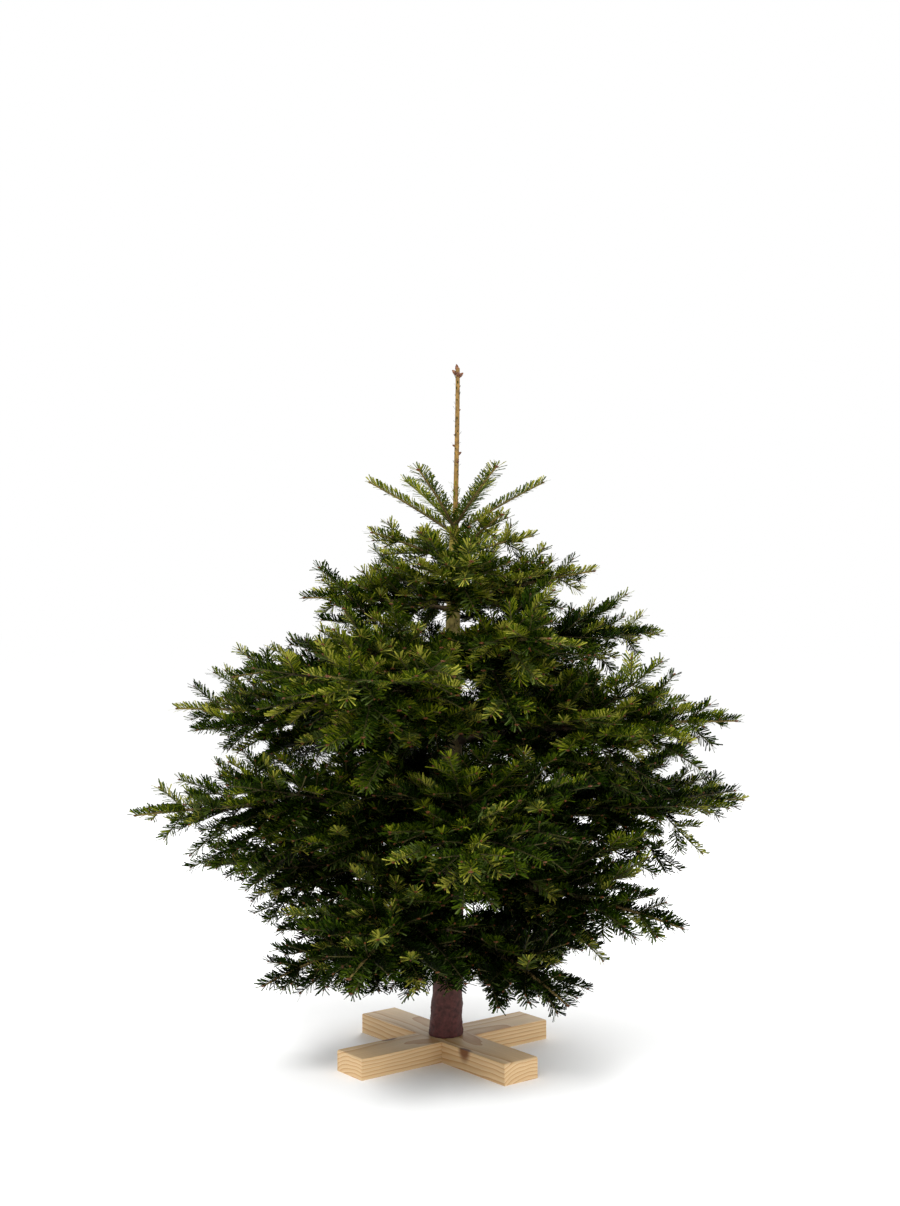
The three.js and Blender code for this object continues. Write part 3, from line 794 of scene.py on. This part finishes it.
def wood_round_lines():
    """Wraps wood of the lines' own radius round them, closed at both ends."""
    sockets = {"Sides": "NodeSocketInt", "Bark": "NodeSocketMaterial"}
    tree, given = new_geometry_tree("wood_round_lines", sockets)
    curve = add_node(tree, "GeometryNodeMeshToCurve", inputs={"Mesh": given.outputs["Geometry"]})
    radius = named_value(tree, "FLOAT", "wood_radius")
    ring = add_node(
        tree, "GeometryNodeCurvePrimitiveCircle", inputs={"Resolution": given.outputs["Sides"], "Radius": 1.0}
    )
    wood = add_node(
        tree,
        "GeometryNodeCurveToMesh",
        inputs={
            "Curve": curve.outputs["Curve"],
            "Profile Curve": ring.outputs["Curve"],
            "Scale": radius,
            "Fill Caps": True,
        },
    )
    shaded = add_node(tree, "GeometryNodeSetShadeSmooth", inputs={"Geometry": wood.outputs["Mesh"]})
    finish_tree(tree, shaded.outputs["Geometry"], given.outputs["Bark"])
    return tree


def grown_by(tree, made, values):
    """Runs a tree on an object with values for its named inputs, and keeps the plain mesh it gives."""
    modifier = made.modifiers.new(tree.name, "NODES")
    modifier.node_group = tree
    for socket in tree.interface.items_tree:
        if socket.in_out == "INPUT" and socket.name in values:
            modifier[socket.identifier] = values[socket.name]
    ready = made.evaluated_get(bpy.context.evaluated_depsgraph_get())
    mesh = bpy.data.meshes.new_from_object(ready)
    made.modifiers.clear()
    made.data = mesh
    return made


# the twigs' dark brown to olive bark, painted darker still as the shade inside the crown
TWIG_COLOURS = [(0.4, "#2c2014"), (0.85, "#352a14"), (1.0, "#4d4a1e")]
twigs = [twig for limb in limbs for twig in twigs_of(limb)]
twig_wood = grown_by(
    wood_round_lines(),
    twig_lines("twigs_with_bark", twigs),
    {"Sides": 5, "Bark": fir_bark("fir_twig_bark", TWIG_COLOURS, "growth")},
)
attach(twig_wood, "root")


# ---------------------------------------------------------------- buds of the shoots
# Every shoot ends in a small slim winter bud of red-brown scales, and the strong ones have two more
# beside it. They sit among the last needles.

TIP_BUD_RADIUS = 0.0023
TIP_BUD_SLIMNESS = 1.7  # its length over its width
BESIDE_ANGLE = math.radians(55)
BESIDE_SIZE = 0.85  # over the bud between them
STRONG_SHOOT = 0.12  # the shortest with buds beside the last one


def bud_points(name, some):
    """A point for each bud, which knows where its bud points and how large it is."""
    places, aims, sizes = [], [], []
    for twig in some:
        end = twig.length - WOOD_SHORT_OF_TIP
        place, (along, across, over) = stations(twig.course, end)
        size = 0.8 + 0.3 * chance(twig.number * 8 + 7) + (0.25 if twig.order == 0 else 0)
        places.append(place + along * 0.002)
        aims.append(along)
        sizes.append(size)
        if twig.order < 3 and twig.length > STRONG_SHOOT:
            for side in (-1, 1):
                aim = along * math.cos(BESIDE_ANGLE) + across * side * math.sin(BESIDE_ANGLE)
                places.append(place + aim * 0.003 - along * 0.001)
                aims.append(aim)
                sizes.append(BESIDE_SIZE * size)
    mesh = bpy.data.meshes.new(name)
    mesh.from_pydata(np.array(places).tolist(), [], [])
    aim_values = mesh.attributes.new("aim", "FLOAT_VECTOR", "POINT")
    aim_values.data.foreach_set("vector", np.array(aims, dtype=np.float32).ravel())
    size_values = mesh.attributes.new("size", "FLOAT", "POINT")
    size_values.data.foreach_set("value", np.array(sizes, dtype=np.float32))
    points = bpy.data.objects.new(name, mesh)
    bpy.context.scene.collection.objects.link(points)
    return points


def buds_on_points():
    """Sets a slim round bud on every point, turned to the point's aim."""
    sockets = {"Radius": "NodeSocketFloat", "Slimness": "NodeSocketFloat", "Scales": "NodeSocketMaterial"}
    tree, given = new_geometry_tree("buds_on_points", sockets)
    ball = add_node(
        tree,
        "GeometryNodeMeshUVSphere",
        inputs={"Segments": 5, "Rings": 2, "Radius": given.outputs["Radius"]},
    )
    scale = {"X": 1.0, "Y": 1.0, "Z": given.outputs["Slimness"]}
    stretch = add_node(tree, "ShaderNodeCombineXYZ", inputs=scale)
    bud = add_node(
        tree,
        "GeometryNodeTransform",
        inputs={"Geometry": ball.outputs["Mesh"], "Scale": stretch.outputs["Vector"]},
    )
    aim = named_value(tree, "FLOAT_VECTOR", "aim")
    size = named_value(tree, "FLOAT", "size")
    turned = add_node(tree, "FunctionNodeAlignRotationToVector", {"axis": "Z"}, {"Vector": aim})
    buds = add_node(
        tree,
        "GeometryNodeInstanceOnPoints",
        inputs={
            "Points": given.outputs["Geometry"],
            "Instance": bud.outputs["Geometry"],
            "Rotation": turned.outputs["Rotation"],
            "Scale": size,
        },
    )
    finish_tree(tree, buds.outputs["Instances"], given.outputs["Scales"])
    return tree


shoot_buds = grown_by(
    buds_on_points(),
    bud_points("shoot_buds", limbs + twigs),
    {
        "Radius": TIP_BUD_RADIUS,
        "Slimness": TIP_BUD_SLIMNESS,
        "Scales": bud_scales("red_brown_shoot_buds", "#43210c", "#6e4019"),
    },
)
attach(shoot_buds, "root")


# ---------------------------------------------------------------- needles
# Flat blunt needles, glossy green above and paler beneath, stand close along the shoots. Those on top
# lean forward over it, those at the sides stand out, and those beneath sweep up to the sides. Each is a
# flat strip, a little narrower at its foot.

NEEDLES_PER_METRE = 1270
NEEDLE_LENGTH = 0.0252
NEEDLE_WIDTH = 0.0028
GOLDEN_ANGLE = math.radians(137.508)
NEEDLE_TONES = {  # from old growth and painted shade deep and low to last year's growth and painted light outside, and the grey bands underneath
    "deep_green_fir_needles": "#070f01",
    "dark_green_fir_needles": "#101d02",
    "green_fir_needles": "#203303",
    "olive_fir_needles": "#3f4f0b",
    "young_fir_needles": "#6f7718",
    "pale_young_fir_needles": "#97963a",
    "grey_green_fir_needles": "#4e5c2c",
}
TONES_BESIDE = [(0, 1), (0, 2), (1, 3), (2, 4), (3, 5), (4, 5), (3, 5)]  # the darker one, dealt as painted shade, and the lighter one
YOUNG_AND_LIT = 4
GREY_BANDS = 6
TONE_STEPS = [-0.10, 0.26, 0.62, 0.84]  # how much light the second to the fifth tone takes
ABOVE_ANGLE = math.radians(36)  # of a needle on top to its shoot
SIDEWAYS_ANGLE = math.radians(24)  # more, for a needle at the side
STEM_NEEDLE_WIDTH = 0.0022
YEARS_SHARE = [1.0, 0.97, 0.86, 0.72, 0.6, 0.5]  # of its needles that growth of each age still has


def needle_stretches(some):
    """Every year's growth that bears needles, with its age in years and its place on its shoot."""
    found = []
    for twig in some:
        start = twig.leaves_trunk + 0.008 if twig.order == 0 else 0.006
        end = twig.length - WOOD_SHORT_OF_TIP - 0.001
        age = 0
        while end > start + 0.004:
            low = max(start, end - twig.yearly)
            looks = age + (twig.order == 0 and age > 0)  # a limb's older growth looks a year older
            found.append(SimpleNamespace(twig=twig, start=low, end=end, age=looks))
            end = low
            age += 1
    return found


def tone_of(stretch):
    """The tone of a stretch of needles by its age, its chance, and painted light and shade by its place in the
    crown.
    """
    twig = stretch.twig
    luck = chance(twig.number * 8 + 6)
    tip = stations(twig.course, twig.length)[0]
    outer = np.linalg.norm(tip[:2]) / 0.62
    # painted light and shade: stretches lower down and nearer the stem are dealt darker tones, higher and outer
    # ones lighter; whorl 3 is a little lighter
    light = luck + 0.4 * (outer - 0.8) + 0.7 * (tip[2] - 0.85) - 0.26 * stretch.age
    light += 0.12 if twig.limb.tier == FIRST_FULL_TIER else 0
    if twig.limb.tier < FIRST_FULL_TIER:
        return GREY_BANDS if luck > 0.55 else YOUNG_AND_LIT
    if stretch.age == 0 and luck < 0.12:
        return GREY_BANDS
    return int(np.digitize(light, TONE_STEPS))


def tones_on(stretch, to_end, under, chances):
    """The tone of each needle on a stretch: most have the stretch's own, some are darker as painted shade, and
    some lighter, above all round the bud of last year's growth, as its paler young needles and as painted
    highlight. Some of those beneath show their grey bands."""
    own = tone_of(stretch)
    darker, lighter = TONES_BESIDE[own]
    luck = chances.uniform(0, 1, len(to_end))
    lighter_share = np.where(to_end < 0.03, 0.5, 0.16) if stretch.age == 0 else 0.06
    # painted shade and highlight: some needles take the darker tone, some the lighter, most of all near a new
    # tip
    tones = np.where(luck < lighter_share, lighter, np.where(luck > 0.66, darker, own))
    return np.where(under & (chances.uniform(0, 1, len(to_end)) < 0.35), GREY_BANDS, tones)


def needles_on(stretch, chances):
    """The roots, aims, upper sides, lengths, widths and tones of the needles on one stretch."""
    twig = stretch.twig
    full = stretch.end - stretch.start
    amount = max(1, int(full * NEEDLES_PER_METRE * YEARS_SHARE[min(stretch.age, 5)]))
    order = np.arange(amount)
    distances = stretch.start + (order + chances.uniform(0.1, 0.9, amount)) * full / amount
    places, (along, across, over) = stations(twig.course, distances)
    roll = 0.35 * twig.roll
    turned = across * math.cos(roll) + over * math.sin(roll)
    raised = over * math.cos(roll) - across * math.sin(roll)
    round_twig = (order * GOLDEN_ANGLE + chances.normal(0, 0.25, amount) + math.pi) % (2 * math.pi) - math.pi
    reach = 2.9 if twig.upright else 2.1
    combed = np.sign(round_twig) * reach * (np.abs(round_twig) / math.pi) ** 1.1
    sideways = np.abs(np.sin(combed))
    to_end = twig.length - WOOD_SHORT_OF_TIP - distances
    closing = 0.7 + 0.3 * np.clip(to_end / 0.02, 0, 1)
    angle = (ABOVE_ANGLE + SIDEWAYS_ANGLE * sideways + chances.normal(0, 0.15, amount)) * closing
    outward = turned * np.sin(combed)[:, None] + raised * np.cos(combed)[:, None]
    aims = along * np.cos(angle)[:, None] + outward * np.sin(angle)[:, None]
    aims[:, 2] += 0.10
    aims /= np.linalg.norm(aims, axis=1, keepdims=True)
    leaf_up = raised * (0.35 + sideways)[:, None] + along * (1.0 - 0.8 * sideways)[:, None]
    leaf_up = leaf_up + chances.normal(0, 0.3, (amount, 3))
    leaf_up -= aims * (leaf_up * aims).sum(axis=1, keepdims=True)
    leaf_up /= np.linalg.norm(leaf_up, axis=1, keepdims=True)
    lengths = NEEDLE_LENGTH * (0.72 + 0.26 * sideways) * chances.uniform(0.86, 1.06, amount)
    lengths = lengths * (0.75 + 0.25 * np.clip((distances - stretch.start) / 0.02, 0, 1))
    roots = places + outward * (0.8 * twig_radius(twig, distances))[:, None]
    widths = NEEDLE_WIDTH * chances.uniform(0.85, 1.1, amount)
    return roots, aims, leaf_up, lengths, widths, tones_on(stretch, to_end, np.abs(combed) > 1.75, chances)


def blades(name, needles, materials):
    """Needles as one piece. Each is a flat strip, narrower at its root than at its blunt tip."""
    roots, aims, leaf_up, lengths, widths, tones = (np.concatenate(column) for column in zip(*needles))
    side = np.cross(leaf_up, aims) * (0.5 * widths)[:, None]
    tips = roots + aims * lengths[:, None]
    corners = np.stack([roots - 0.6 * side, tips - side, tips + side, roots + 0.6 * side], axis=1)
    mesh = bpy.data.meshes.new(name)
    mesh.vertices.add(4 * len(roots))
    mesh.vertices.foreach_set("co", corners.astype(np.float32).ravel())
    mesh.loops.add(4 * len(roots))
    mesh.loops.foreach_set("vertex_index", np.arange(4 * len(roots), dtype=np.int32))
    mesh.polygons.add(len(roots))
    mesh.polygons.foreach_set("loop_start", 4 * np.arange(len(roots), dtype=np.int32))
    for material in materials:
        mesh.materials.append(material)
    mesh.polygons.foreach_set("material_index", tones.astype(np.int32))
    mesh.polygons.foreach_set("use_smooth", np.zeros(len(roots), dtype=bool))
    mesh.update(calc_edges=True)
    made = bpy.data.objects.new(name, mesh)
    bpy.context.scene.collection.objects.link(made)
    return made


needle_materials = []
for name, colour in NEEDLE_TONES.items():
    needle, _, needle_shader = finish_of(name, 0.55, 0.03)
    needle_shader.inputs["Base Color"].default_value = linear(colour)
    needle_materials.append(needle)

STEM_NEEDLES = [  # between two heights on the stem: needles per metre, their length, angle and tone
    (0.700, 0.960, 300, 0.018, 55, 3),
    (0.960, 1.128, 450, 0.020, 50, 3),
    (1.145, 1.230, 560, 0.018, 34, 4),
    (1.230, 1.476, 200, 0.011, 30, 2),
]


def needles_on_the_stem():
    """The few short needles that the stem's youngest years still hold, pressed upwards along it."""
    chances = np.random.default_rng(90)
    found = []
    for low, high, per_metre, length, angle, tone in STEM_NEEDLES:
        amount = int((high - low) * per_metre)
        heights = low + (np.arange(amount) + chances.uniform(0, 1, amount)) * (high - low) / amount
        turns = np.arange(amount) * GOLDEN_ANGLE + chances.normal(0, 0.3, amount)
        angles = np.radians(angle + chances.normal(0, 14, amount))
        outward = np.stack([np.cos(turns), np.sin(turns), np.zeros(amount)], axis=-1)
        aims = outward * np.sin(angles)[:, None] + np.array([0, 0, 1.0]) * np.cos(angles)[:, None]
        leaf_up = np.array([0, 0, 1.0]) * np.sin(angles)[:, None] - outward * np.cos(angles)[:, None]
        roots = trunk_centre(heights) + outward * (trunk_radius(heights) - 0.0006)[:, None]
        lengths = length * chances.uniform(0.45, 1.1, amount)
        widths = STEM_NEEDLE_WIDTH * chances.uniform(0.85, 1.1, amount)
        found.append((roots, aims, leaf_up, lengths, widths, np.full(amount, tone)))
    return found


NEEDLE_PIECES = {  # the limbs' tiers and places in each piece
    "needles_of_the_top": [(tier, place) for tier in (1, 2, 3) for place in range(1, 7)],
    "needles_4": [(4, place) for place in range(1, 5)],
    "needles_5_front": [(5, 1), (5, 4)],
    "needles_5_back": [(5, 2), (5, 3)],
    "needles_6_front": [(6, 1), (6, 4)],
    "needles_6_back": [(6, 2), (6, 3)],
    "needles_7_front": [(7, 1), (7, 4)],
    "needles_7_back": [(7, 2), (7, 3)],
    "needles_8": [(8, place) for place in range(1, 5)],
}
for seed, (name, places) in enumerate(NEEDLE_PIECES.items()):
    chances = np.random.default_rng(100 + seed)
    own = [shoot for shoot in limbs + twigs if (shoot.limb.tier, shoot.limb.place) in places]
    needles = [needles_on(stretch, chances) for stretch in needle_stretches(own)]
    if name == "needles_of_the_top":
        needles += needles_on_the_stem()
    piece = blades(name, needles, needle_materials)
    own_limbs = [limb for limb in limbs if (limb.tier, limb.place) in places]
    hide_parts(*[f"foliage_{limb.tier}_{limb.place}" for limb in own_limbs])
    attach(piece, "root")
